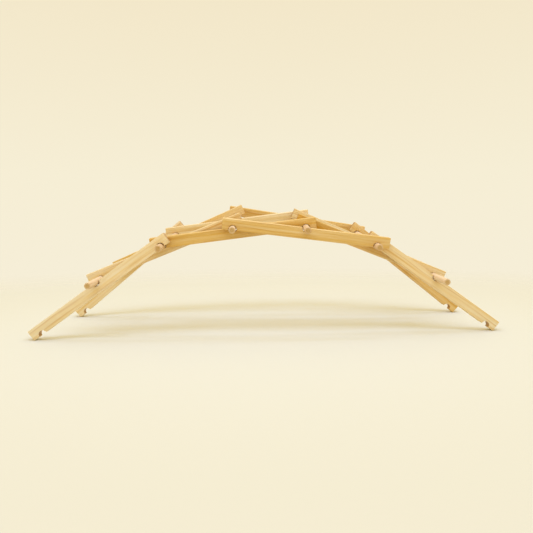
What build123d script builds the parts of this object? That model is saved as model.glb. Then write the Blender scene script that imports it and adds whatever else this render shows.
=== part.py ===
from build123d import *
from cmath import phase, rect
from math import atan2, cos, radians, tan
import os

# A self-supporting toy arch bridge: notched wooden slats woven over and under round dowels, with no glue.
# Millimetres and degrees. +X runs along the bridge, +Y from its front arch to its back arch, +Z up.
# The origin is on the floor, under the middle of the bridge.

# Sizes of the slats and dowels
slat_length = 200.0
slat_height = 13.3
slat_thickness = 9.0
notch_to_end = 12.8
notch_radius = 5.0
dowel_diameter = 8.0
dowel_length = 170.0
dowel_chamfer = 0.5

# Room under a dowel at the bottom of its notch, taken up by the dowel's slant
seat_clearance = 0.4

# Each dowel lies this share of the arch's rise over the middle of the slat that carries it
carried_share = 0.54

# How the bridge was put together. The turn is the mean angle from one slat to the next in an arch.
# The back arch is drawn in tighter than the front one, so it stands taller on a shorter span.
front_turn = 14.1
back_turn = 15.7
# The turns grow by this share towards the left foot and shrink by it towards the right foot
front_taper = 0.02
back_taper = 0.05
# The back arch stands this far to the right of the front one
back_shift = 4.2
# These values of an arch hold at this depth in front of the bridge's middle, or behind it
arch_depth = 64.0

# Dowels from left to right, and how far each is pushed through towards the front
dowel_slides = {
    "left_foot_dowel": 6.5,
    "left_haunch_dowel": -4.0,
    "left_crown_dowel": -6.0,
    "right_crown_dowel": 1.0,
    "right_haunch_dowel": -5.2,
    "right_foot_dowel": 5.5,
}

# How far some dowels ride over their even place, in the front arch and in the back one
dowel_rises = {
    "left_foot_dowel": (1.2, 0.0),
    "left_haunch_dowel": (0.8, 0.0),
    "right_foot_dowel": (0.8, 0.0),
}

# Slats of one arch from left to right, and how far each lies from the bridge's middle,
# towards the front in the front arch and towards the back in the back one
slat_depths = {
    "left_leg": (64.0, 61.5),
    "lower_left_slat": (43.2, 51.2),
    "upper_left_slat": (53.6, 41.0),
    "upper_right_slat": (64.0, 69.0),
    "lower_right_slat": (43.2, 30.5),
    "right_leg": (53.6, 56.0),
}

# How far some slats lie over their even place, at the left end notch and at the right one.
# They sit loose by these amounts round the left crown dowel, most of all in the back arch.
slat_rises = {
    "front_lower_left_slat": (0.5, 0.9),
    "front_upper_left_slat": (-0.9, -0.8),
    "back_lower_left_slat": (0.5, 1.9),
    "back_upper_left_slat": (-0.7, -1.1),
    "back_upper_right_slat": (1.0, -0.8),
    "back_lower_right_slat": (-0.8, 0.0),
}

# How much longer some slats were cut, at the left end and at the right one
slat_overhangs = {
    "front_lower_left_slat": (1.8, 0.0),
    "front_upper_left_slat": (1.0, 0.0),
    "front_upper_right_slat": (0.0, 1.8),
}

slat_count = len(slat_depths)
last_slat = slat_count - 1
arm = slat_length / 2 - notch_to_end
seat_offset = notch_radius - dowel_diameter / 2 - seat_clearance

os.makedirs("parts", exist_ok=True)


# The even arch at one depth

def back_share(y):
    """How far depth y lies from the front arch to the back arch, from 0 to 1."""
    return (y + arch_depth) / (2 * arch_depth)


def section(y):
    """Dowel centres, slat middles and slat directions at depth y, as complex x + z * 1j."""
    share = back_share(y)
    turn = front_turn + share * (back_turn - front_turn)
    taper = front_taper + share * (back_taper - front_taper)
    turns = []
    for i in range(last_slat):
        leftness = 1 - 2 * i / (last_slat - 1)
        turns.append(radians(turn * (1 + taper * leftness)))
    angles = [sum(turns) / 2 - sum(turns[:i]) for i in range(slat_count)]
    along = [rect(1, angle) for angle in angles]

    dowels = [0j]
    for i, bend in enumerate(turns):
        chord = arm / cos(bend / 2)
        dowels.append(dowels[-1] + rect(chord, (angles[i] + angles[i + 1]) / 2))

    drop = carried_share * arm * tan(radians(turn) / 2)
    middles = [dowel - 1j * drop * way for dowel, way in zip(dowels, along)]

    # Turned and moved so that the lower corner of each foot is on the floor
    left_foot = middles[0] - complex(slat_length, slat_height) / 2 * along[0]
    right_foot = middles[last_slat] + complex(slat_length, -slat_height) / 2 * along[last_slat]
    level = rect(1, -phase(right_foot - left_foot))
    foot_middle = (left_foot + right_foot) / 2
    move = back_shift * share
    return (
        [(dowel - foot_middle) * level + move for dowel in dowels],
        [(middle - foot_middle) * level + move for middle in middles],
        [way * level for way in along],
    )


def slat_y(arch, name):
    """Y of a slat's middle plane in the front or the back arch."""
    front_depth, back_depth = slat_depths[name]
    return -front_depth if arch == "front" else back_depth


def outer_tip(y, slat, end):
    """X of the upper corner at the outer end of a leg. The left end is -1 and the right end +1."""
    middles, along = section(y)[1:]
    return (middles[slat] + complex(end * slat_length, slat_height) / 2 * along[slat]).real


# The front feet stand furthest out, so the bridge is centred between their tips
left_tip = outer_tip(slat_y("front", "left_leg"), 0, -1)
right_tip = outer_tip(slat_y("front", "right_leg"), last_slat, 1)
centre_x = (left_tip + right_tip) / 2


def point(flat, y):
    """The place in the bridge of a point of the section at depth y."""
    return Vector(flat.real - centre_x, y, flat.imag)


# Dowels

front_dowels = section(-arch_depth)[0]
back_dowels = section(arch_depth)[0]
for number, dowel_name in enumerate(dowel_slides):
    front_rise, back_rise = dowel_rises.get(dowel_name, (0.0, 0.0))
    front_dowels[number] += 1j * front_rise
    back_dowels[number] += 1j * back_rise


def dowel_at(i, y):
    """Where dowel i, which is straight, crosses depth y."""
    return front_dowels[i] + back_share(y) * (back_dowels[i] - front_dowels[i])


def dowel_way(i):
    """The direction of dowel i from front to back."""
    return (point(back_dowels[i], arch_depth) - point(front_dowels[i], -arch_depth)).normalized()


def make_dowel(name, i):
    way = dowel_way(i)
    middle = point(dowel_at(i, 0), 0) - way * dowel_slides[name]
    with BuildPart() as dowel:
        with BuildSketch(Plane(origin=middle, z_dir=way)):
            Circle(dowel_diameter / 2)
        extrude(amount=dowel_length / 2, both=True)
        chamfer(dowel.edges().filter_by(GeomType.CIRCLE), length=dowel_chamfer)
    dowel.part.label = name
    export_step(dowel.part, f"parts/{name}.step")


for number, dowel_name in enumerate(dowel_slides):
    make_dowel(dowel_name, number)


# Slats

def slat_line(name, slat, y):
    """A slat's middle and its direction, in the section at its depth."""
    middles, along = section(y)[1:]
    left_rise, right_rise = slat_rises.get(name, (0.0, 0.0))
    middle = middles[slat] + 1j * along[slat] * (left_rise + right_rise) / 2
    tilt = atan2(right_rise - left_rise, 2 * arm)
    return middle, along[slat] * rect(1, tilt)


def slat_plane(name, slat, y):
    """A slat's middle plane: X along the slat, Y up across it and Z through it towards the front."""
    middle, way = slat_line(name, slat, y)
    along = Vector(way.real, 0, way.imag)
    if slat in (0, last_slat):
        # A leg stands upright on the lower edge of its foot
        towards_front = Vector(0, -1, 0)
    else:
        # The others settle square to the dowels that they hold
        held = [dowel_way(i) for i in (slat - 1, slat, slat + 1)]
        through = -(held[0] + held[1] + held[2])
        towards_front = through - along * through.dot(along)
    return Plane(origin=point(middle, y), x_dir=along, z_dir=towards_front)


def notch_centres(name, slat, y):
    """Centres of a slat's notches, along and across it. A notch is half round, or deeper if its dowel is."""
    middle, way = slat_line(name, slat, y)
    edge = slat_height / 2
    centres = []
    for i in (slat - 1, slat, slat + 1):
        if not 0 <= i <= last_slat:
            # A leg's foot notch is empty
            centres.append(complex(arm * (i - slat), -edge))
            continue
        place = (dowel_at(i, y) - middle) / way
        if i == slat:
            centres.append(complex(place.real, min(edge, place.imag + seat_offset)))
        else:
            centres.append(complex(place.real, max(-edge, place.imag - seat_offset)))
    return centres


def make_slat(name, slat, y):
    left_more, right_more = slat_overhangs.get(name, (0.0, 0.0))
    with BuildPart() as board:
        with BuildSketch(slat_plane(name, slat, y)):
            with Locations(((right_more - left_more) / 2, 0)):
                Rectangle(slat_length + left_more + right_more, slat_height)
            with Locations(*[(centre.real, centre.imag) for centre in notch_centres(name, slat, y)]):
                Circle(notch_radius, mode=Mode.SUBTRACT)
        extrude(amount=slat_thickness / 2, both=True)
    board.part.label = name
    export_step(board.part, f"parts/{name}.step")


for arch_name in ("front", "back"):
    for number, slat_name in enumerate(slat_depths):
        make_slat(f"{arch_name}_{slat_name}", number, slat_y(arch_name, slat_name))
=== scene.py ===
import random
from math import cos, pi, radians, sin

import bmesh
import bpy
from mathutils import Matrix, Vector


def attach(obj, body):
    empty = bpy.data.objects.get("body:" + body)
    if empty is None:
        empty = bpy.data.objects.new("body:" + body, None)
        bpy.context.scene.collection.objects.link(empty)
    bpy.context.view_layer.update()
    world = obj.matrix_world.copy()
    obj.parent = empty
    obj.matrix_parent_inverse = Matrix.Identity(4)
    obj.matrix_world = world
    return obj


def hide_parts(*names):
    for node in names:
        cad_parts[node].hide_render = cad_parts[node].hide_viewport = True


# The looks of a self-supporting toy arch bridge: twelve notched pine slats woven over and under six
# birch dowels, with no glue. Metres, in the bridge's own frame: +X along the bridge, +Y to its back
# arch and +Z up, with the origin on the floor under its middle.

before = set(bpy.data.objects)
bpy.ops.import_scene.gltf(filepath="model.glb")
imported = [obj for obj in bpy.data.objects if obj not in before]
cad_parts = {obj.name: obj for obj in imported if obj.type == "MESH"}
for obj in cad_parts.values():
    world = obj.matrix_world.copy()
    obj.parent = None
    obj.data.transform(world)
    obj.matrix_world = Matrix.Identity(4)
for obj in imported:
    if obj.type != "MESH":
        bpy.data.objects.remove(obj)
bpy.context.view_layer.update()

mm = 0.001

# The photograph is square, and the camera was fitted to the edges of the slats in it
image_size = 533
focal_pixels = 477.7
sensor_width = 36.0
camera_place = (-27.3 * mm, -633.1 * mm, 152.1 * mm)
camera_yaw = radians(-2.34)
camera_drop = radians(6.69)
camera_roll = radians(-0.36)

# Sanded edges: the radius of a slat's edges and of a dowel's ends, and the width of a paler rim on a dowel's
# end, a painted highlight where a chamfer would catch the light
slat_ease = 0.5 * mm
dowel_ease = 0.2 * mm
highlight_rim_width = 0.9 * mm
ease_segments = 3

# Faces that meet at less than the flat angle are one face, and over the crisp angle are at an edge
flat_angle = radians(0.5)
crisp_angle = radians(30)
smooth_angle = radians(20)
merge_distance = 0.005 * mm

# How far a face counts as cut across the grain: 0 is planed along it, and 1 is sawn or drilled. The notches'
# full value is partly painted shade.
notch_cut_and_shade = 1.0
slat_end_cut = 0.4
dowel_end_cut = 1.0
# The rim of a dowel's end takes less of the cut tone: a painted highlight
highlight_rim_cut = 0.4

# How the wood is drawn. The rings wander by up to this many millimetres.
ring_wander = 9.0
# A year's growth from its start to its end: pale and soft at first, then a thin dark line
year_stops = [(0.0, "555555"), (0.15, "000000"), (0.55, "2A2A2A"), (0.86, "FFFFFF"), (1.0, "555555")]
# What rings, streaks and fibres add to the darkness of the wood, and where it starts
ring_weight = 0.1
streak_weight = 0.8
fibre_weight = 0.45
base_darkness = -0.16
# The tint of late wood and its share, the share of a cut face's tone, and the relief of the grain
late_wood_tint = "D0A468"
late_wood_share = 0.4
cut_share = 0.75
grain_relief = 0.08 * mm

# The floor's radius, and where its fade starts and ends. Along the bridge the fade is longer.
floor_reach = 1.1
fade_start = 0.12 * floor_reach
fade_end = 0.6 * floor_reach
fade_squeeze = 0.6

# The light from all round, from straight down to straight up, and its strength
around_stops = [(0.0, "D5CDB6"), (0.49, "D5CDB6"), (0.51, "A69A7A"), (1.0, "FBE9B1")]
around_strength = 1.48
# The background that shows beyond the floor, from just under the horizon upwards
seen_stops = [(0.0, "F6EED7"), (0.34, "F6EED5"), (1.0, "F3E7C9")]
# The lamps are this many times as long as they are far away
lamp_length = 1.25
lamp_tint = "A0C0FF"


# Colours and nodes

def colour(code):
    """An sRGB hex value such as F0C890 as linear red, green, blue and alpha."""
    parts = [int(code[i:i + 2], 16) / 255 for i in (0, 2, 4)]
    return [p / 12.92 if p <= 0.04045 else ((p + 0.055) / 1.055) ** 2.4 for p in parts] + [1.0]


def add(tree, kind, settings, links=None):
    """Adds a node. A setting is a property, an input's value or a ramp's stops.

    A link feeds an input from another node.
    """
    node = tree.nodes.new("ShaderNode" + kind)
    for name, value in settings.items():
        if name == "stops":
            while len(node.color_ramp.elements) < len(value):
                node.color_ramp.elements.new(0.5)
            for element, (place, code) in zip(node.color_ramp.elements, value):
                element.position = place
                element.color = colour(code)
        elif isinstance(name, str) and hasattr(node, name):
            setattr(node, name, value)
        else:
            node.inputs[name].default_value = value
    for name, source in (links or {}).items():
        tree.links.new(source, node.inputs[name])
    return node


def new_material(name):
    """A material with an empty tree, and its tree."""
    material = bpy.data.materials.new(name)
    material.use_nodes = True
    material.node_tree.nodes.clear()
    return material, material.node_tree


# Materials

def drawn_out(tree, grain, along, across, detail):
    """Noise drawn out along the grain, by the length and the width of its patches in millimetres."""
    place = add(tree, "Mapping", {"Scale": (1 / along, 1 / across, 1 / across)}, {"Vector": grain})
    noise = add(tree, "TexNoise", {"Scale": 1.0, "Detail": detail}, {"Vector": place.outputs[0]})
    return noise.outputs["Fac"]


def wood(name, ring_width, tones_and_shade, cut_tone, roughness, fibre_width):
    """Straight-grained wood, solid right through, in millimetres from the pith of each piece's tree.

    The grain attribute is that place: X along the grain, Y and Z across it. The tone attribute shifts a
    piece's colour, partly by the wood's own tone and partly by painted shade, and the cut attribute marks the
    faces that cross the grain, with painted shade in the notches and a painted highlight on the rims of the
    dowel ends.
    """
    material, tree = new_material(name)
    grain = add(tree, "Attribute", {"attribute_name": "grain"}).outputs["Vector"]
    tone = add(tree, "Attribute", {"attribute_name": "tone"}).outputs["Fac"]
    cut = add(tree, "Attribute", {"attribute_name": "cut"}).outputs["Fac"]

    # Yearly rings, which wander along a slat
    wander = drawn_out(tree, grain, along=130, across=18, detail=2.0)
    across = add(tree, "VectorMath", {"operation": "MULTIPLY", 1: (0, 1, 1)}, {0: grain})
    radius = add(tree, "VectorMath", {"operation": "LENGTH"}, {0: across.outputs[0]})
    bent = add(tree, "Math", {"operation": "MULTIPLY_ADD", 1: ring_wander},
               {0: wander, 2: radius.outputs["Value"]})
    years = add(tree, "Math", {"operation": "DIVIDE", 1: ring_width}, {0: bent.outputs[0]})
    season = add(tree, "Math", {"operation": "FRACT"}, {0: years.outputs[0]})
    late = add(tree, "ValToRGB", {"stops": year_stops}, {"Fac": season.outputs[0]})
    # Their dark lines come and go
    patches = drawn_out(tree, grain, along=70, across=5, detail=1.0)
    strength = add(tree, "MapRange", {"From Min": 0.35, "From Max": 0.65}, {"Value": patches})
    lines = add(tree, "Math", {"operation": "MULTIPLY"},
                {0: late.outputs["Color"], 1: strength.outputs[0]}).outputs[0]

    # Streaks a few millimetres wide, and fibres, drawn much coarser than real ones so that they show
    streak = drawn_out(tree, grain, along=160, across=4, detail=2.0)
    fibre = drawn_out(tree, grain, along=30, across=fibre_width, detail=3.0)

    # All of it as one darkness, about 0.5 on the whole
    dark = add(tree, "Math", {"operation": "MULTIPLY_ADD", 1: ring_weight, 2: base_darkness}, {0: lines})
    dark = add(tree, "Math", {"operation": "MULTIPLY_ADD", 1: streak_weight}, {0: streak, 2: dark.outputs[0]})
    dark = add(tree, "Math", {"operation": "MULTIPLY_ADD", 1: fibre_weight}, {0: fibre, 2: dark.outputs[0]})
    # The piece's tone, partly its own and partly painted shade, adds to the darkness
    dark = add(tree, "Math", {"operation": "ADD"}, {0: dark.outputs[0], 1: tone})
    face = add(tree, "ValToRGB", {"stops": tones_and_shade}, {"Fac": dark.outputs[0]})

    # The late wood of each year is browner too, whatever the tone of the piece
    share = add(tree, "Math", {"operation": "MULTIPLY", 1: late_wood_share}, {0: lines})
    ringed = add(tree, "Mix", {"data_type": "RGBA", "blend_type": "MULTIPLY", 7: colour(late_wood_tint)},
                 {"Factor": share.outputs[0], 6: face.outputs["Color"]})

    # Cut across or drilled, the fibres drink the light and show darker. In the notches this darkening is
    # partly painted shade, and the paler rims of the dowel ends are a painted highlight.
    share = add(tree, "Math", {"operation": "MULTIPLY", 1: cut_share}, {0: cut})
    sawn = add(tree, "Mix", {"data_type": "RGBA", 7: colour(cut_tone)},
               {"Factor": share.outputs[0], 6: ringed.outputs[2]})

    # The fibres make the surface a little rougher here and smoother there
    rough = add(tree, "Math", {"operation": "MULTIPLY_ADD", 1: 0.2, 2: roughness - 0.1}, {0: fibre})
    relief = add(tree, "Bump", {"Strength": 0.35, "Distance": grain_relief}, {"Height": dark.outputs[0]})
    shader = add(tree, "BsdfPrincipled", {"IOR": 1.4},
                 {"Base Color": sawn.outputs[2], "Roughness": rough.outputs[0], "Normal": relief.outputs[0]})
    add(tree, "OutputMaterial", {}, {"Surface": shader.outputs[0]})
    return material


# Planed pine, bare: pale and warm, with straight darker lines along each slat and a dull sheen. Its darkest,
# most golden stops are where the painted shade reaches.
pine = wood(
    "planed pine", ring_width=3.2,
    tones_and_shade=[(0.0, "EDDDBA"), (0.3, "E8CC93"), (0.7, "D8AC54"), (1.0, "D29A22")],
    cut_tone="AB772F", roughness=0.55, fibre_width=0.9,
)
# Sanded birch, bare: paler and pinker, close in the grain, and brown where the ends are sawn
birch = wood(
    "sanded birch dowel", ring_width=1.6,
    tones_and_shade=[(0.2, "E9D3B1"), (0.5, "E4C89E"), (0.8, "D8B382")],
    cut_tone="B89048", roughness=0.55, fibre_width=0.7,
)


# Pieces

def merged_copy(node):
    """A bmesh of a node's shape, with its loose triangles merged into whole flat faces."""
    bm = bmesh.new()
    bm.from_mesh(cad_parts[node].data)
    bmesh.ops.remove_doubles(bm, verts=bm.verts, dist=merge_distance)
    bmesh.ops.dissolve_limit(bm, angle_limit=flat_angle, verts=bm.verts, edges=bm.edges)
    return bm


def own_axes(bm, forwards):
    """A matrix that turns a place in the bridge into one along, up and through the piece, from its middle.

    With it comes half the piece's size along those axes.
    """
    widest = max(bm.faces, key=lambda face: face.calc_area())
    longest = max(widest.edges, key=lambda edge: edge.calc_length())
    along = (longest.verts[1].co - longest.verts[0].co).normalized()
    if along.dot(forwards) < 0:
        along.negate()
    through = widest.normal.copy()
    if through.y > 0:
        through.negate()
    turn = Matrix((along, through.cross(along), through))
    places = [turn @ vert.co for vert in bm.verts]
    lowest = Vector([min(place[i] for place in places) for i in range(3)])
    highest = Vector([max(place[i] for place in places) for i in range(3)])
    return Matrix.Translation(-(lowest + highest) / 2) @ turn.to_4x4(), (highest - lowest) / 2


def make_piece(node, material, slot, forwards, ease, end_cut, pith, tones_and_shade):
    """A node's shape with its edges eased, and the attributes that its wood reads."""
    bm = merged_copy(node)
    to_own, half = own_axes(bm, forwards)
    turn = to_own.to_3x3()
    crisp = [edge for edge in bm.edges if edge.calc_face_angle() > crisp_angle]
    bmesh.ops.bevel(bm, geom=crisp, offset=ease, offset_type="OFFSET", affect="EDGES",
                    segments=ease_segments, profile=0.5, material=-1, clamp_overlap=True)

    grain_layer = bm.verts.layers.float_vector.new("grain")
    tone_and_shade_layer = bm.verts.layers.float.new("tone")
    cut_and_painted_light_layer = bm.faces.layers.float.new("cut")
    highlight_rims = []
    if slot == "dowel_wood":
        ends = [face for face in bm.faces if abs((turn @ face.normal).x) > 0.99]
        highlight_rims = bmesh.ops.inset_individual(bm, faces=ends, thickness=highlight_rim_width)["faces"]
    for vert in bm.verts:
        place = to_own @ vert.co
        # A tone that runs from one end of the piece to the other: partly the wood's own, partly painted shade
        share = (1 + place.x / half.x) / 2
        vert[grain_layer] = place / mm + pith
        vert[tone_and_shade_layer] = tones_and_shade[0] + share * (tones_and_shade[1] - tones_and_shade[0])
    for face in bm.faces:
        # Sawn ends look along the grain, and a notch's walls lie inside the slat's edges
        facing = turn @ face.normal
        middle = to_own @ face.calc_center_median()
        in_notch = abs(facing.z) < 0.3 and abs(middle.y) < half.y - slat_ease and slot == "slat_wood"
        if in_notch:
            # A notch's walls take the darkest cut tone: end grain, and partly painted shade
            face[cut_and_painted_light_layer] = notch_cut_and_shade
        elif abs(facing.x) > 0.95:
            face[cut_and_painted_light_layer] = end_cut
    # Each dowel end's rim is paler than its middle: a painted highlight
    for face in highlight_rims:
        face[cut_and_painted_light_layer] = highlight_rim_cut

    mesh = bpy.data.meshes.new(f"{node}_wood")
    bm.to_mesh(mesh)
    bm.free()
    mesh.shade_smooth()
    mesh.set_sharp_from_angle(angle=smooth_angle)
    mesh.materials.append(material)
    piece = bpy.data.objects.new(f"{node}_wood", mesh)
    bpy.context.scene.collection.objects.link(piece)
    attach(piece, "root")
    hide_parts(node)


# How much darker and more golden the wood of each slat is, at its left end and at its right end: partly the
# wood's own tone, and partly painted shade where a slat runs into the shade under the arch
slat_tones_and_shade = {
    "front_left_leg": (-0.4, -0.22),
    "front_lower_left_slat": (-0.26, -0.1),
    "front_upper_left_slat": (0.14, 0.12),
    "front_upper_right_slat": (0.1, 0.06),
    "front_lower_right_slat": (0.34, -0.32),
    "front_right_leg": (-0.1, -0.28),
    "back_left_leg": (-0.2, -0.2),
    "back_lower_left_slat": (-0.02, -0.06),
    "back_upper_left_slat": (-0.12, -0.12),
    "back_upper_right_slat": (0.12, 0.12),
    "back_lower_right_slat": (-0.1, -0.14),
    "back_right_leg": (0.0, 0.18),
}
# The same for the dowels, at the front end and at the back end: partly their own tone, and partly painted
# shade from the notches that they lie in
dowel_tones_and_shade = {
    "left_foot_dowel": (0.05, 0.05),
    "left_haunch_dowel": (0.25, 0.1),
    "left_crown_dowel": (0.1, 0.1),
    "right_crown_dowel": (0.3, 0.1),
    "right_haunch_dowel": (0.3, 0.1),
    "right_foot_dowel": (0.0, 0.0),
}

# Where each piece was sawn from: how far along its tree, and its distance and direction from the pith, in mm
draw = random.Random(12)
for name, tones_and_shade in slat_tones_and_shade.items():
    distance = draw.uniform(40, 110)
    angle = draw.uniform(0.15, 0.45) * pi * draw.choice((-1, 1))
    pith = Vector((draw.uniform(0, 2000), distance * cos(angle), distance * sin(angle)))
    make_piece(name, pine, "slat_wood", Vector((1, 0, 0)), slat_ease, slat_end_cut, pith, tones_and_shade)
for name, tones_and_shade in dowel_tones_and_shade.items():
    distance = draw.uniform(8, 30)
    angle = draw.uniform(-pi, pi)
    pith = Vector((draw.uniform(0, 2000), distance * cos(angle), distance * sin(angle)))
    make_piece(name, birch, "dowel_wood", Vector((0, 1, 0)), dowel_ease, dowel_end_cut, pith, tones_and_shade)


# Floor

def make_floor():
    """A sheet of cream paper that fades into the background a little way off."""
    material, tree = new_material("cream paper")
    place = add(tree, "TexCoord", {}).outputs["Object"]
    oval = add(tree, "VectorMath", {"operation": "MULTIPLY", 1: (fade_squeeze, 1, 1)}, {0: place})
    distance = add(tree, "VectorMath", {"operation": "LENGTH"}, {0: oval.outputs[0]})
    fade = add(tree, "MapRange",
               {"From Min": fade_start, "From Max": fade_end, "To Min": 1.0, "To Max": 0.0,
                "interpolation_type": "SMOOTHSTEP"}, {"Value": distance.outputs["Value"]})
    paper = add(tree, "BsdfDiffuse", {"Color": colour("D8D5C5")})
    clear = add(tree, "BsdfTransparent", {})
    mixed = add(tree, "MixShader", {}, {0: fade.outputs[0], 1: clear.outputs[0], 2: paper.outputs[0]})
    add(tree, "OutputMaterial", {}, {"Surface": mixed.outputs[0]})

    bm = bmesh.new()
    bmesh.ops.create_circle(bm, cap_ends=True, segments=64, radius=floor_reach)
    mesh = bpy.data.meshes.new("floor")
    bm.to_mesh(mesh)
    bm.free()
    mesh.materials.append(material)
    floor = bpy.data.objects.new("floor", mesh)
    bpy.context.scene.collection.objects.link(floor)


make_floor()


# Light: warm light from all round, and two long cool lamps overhead, one in front and a weaker one behind.
# They run along the bridge, so the slats' shadows are soft bands and the dowels' shadows melt away.

def make_world():
    """Warm light for the object, and a pale cream background for the eye."""
    world = bpy.data.worlds.new("cream studio")
    bpy.context.scene.world = world
    world.use_nodes = True
    tree = world.node_tree
    tree.nodes.clear()
    way = add(tree, "TexCoord", {}).outputs["Generated"]
    height = add(tree, "SeparateXYZ", {}, {0: way}).outputs["Z"]
    # Most of the light is from above. Under the horizon it is what a wider floor would throw back.
    level = add(tree, "MapRange", {"From Min": -1.0}, {"Value": height})
    warm = add(tree, "ValToRGB", {"stops": around_stops}, {"Fac": level.outputs[0]})
    around = add(tree, "Background", {"Strength": around_strength}, {"Color": warm.outputs["Color"]})
    level = add(tree, "MapRange", {"From Min": -0.1, "From Max": 0.4}, {"Value": height})
    cream = add(tree, "ValToRGB", {"stops": seen_stops}, {"Fac": level.outputs[0]})
    seen = add(tree, "Background", {"Strength": 1.0}, {"Color": cream.outputs["Color"]})
    path = add(tree, "LightPath", {})
    straight = add(tree, "Math", {"operation": "MAXIMUM"},
                   {0: path.outputs["Is Camera Ray"], 1: path.outputs["Is Transmission Ray"]})
    straight = add(tree, "Math", {"operation": "MAXIMUM"},
                   {0: straight.outputs[0], 1: path.outputs["Is Glossy Ray"]})
    mixed = add(tree, "MixShader", {}, {0: straight.outputs[0], 1: around.outputs[0], 2: seen.outputs[0]})
    add(tree, "OutputWorld", {}, {"Surface": mixed.outputs[0]})


def make_lamp(name, lean, aim, distance, width, share):
    """A long lamp overhead. Its lean moves it towards the front, and its aim turns it towards the back.

    Its share is of the light on the floor.
    """
    lamp = bpy.data.lights.new(name, "AREA")
    lamp.shape = "RECTANGLE"
    lamp.size = lamp_length * distance
    lamp.size_y = width
    lamp.color = colour(lamp_tint)[:3]
    lamp.energy = share * pi ** 2 * distance ** 2 / (cos(lean) * cos(aim - lean))
    holder = bpy.data.objects.new(name, lamp)
    holder.location = (0, -distance * sin(lean), distance * cos(lean))
    holder.rotation_euler = (aim, 0, 0)
    bpy.context.scene.collection.objects.link(holder)


make_world()
make_lamp("front_lamp", lean=radians(20), aim=radians(52), distance=0.9, width=0.30, share=0.74)
make_lamp("back_lamp", lean=radians(-8), aim=radians(-8), distance=3.0, width=0.22, share=0.2)


# Camera

def make_camera():
    """The photograph's view."""
    data = bpy.data.cameras.new("camera")
    data.sensor_width = sensor_width
    data.lens = sensor_width * focal_pixels / image_size
    camera = bpy.data.objects.new("camera", data)
    yaw = Matrix.Rotation(camera_yaw, 4, "Z")
    drop = Matrix.Rotation(pi / 2 - camera_drop, 4, "X")
    roll = Matrix.Rotation(camera_roll, 4, "Z")
    camera.matrix_world = Matrix.Translation(camera_place) @ yaw @ drop @ roll
    bpy.context.scene.collection.objects.link(camera)
    bpy.context.scene.camera = camera


make_camera()
bpy.context.scene.view_settings.view_transform = "Standard"
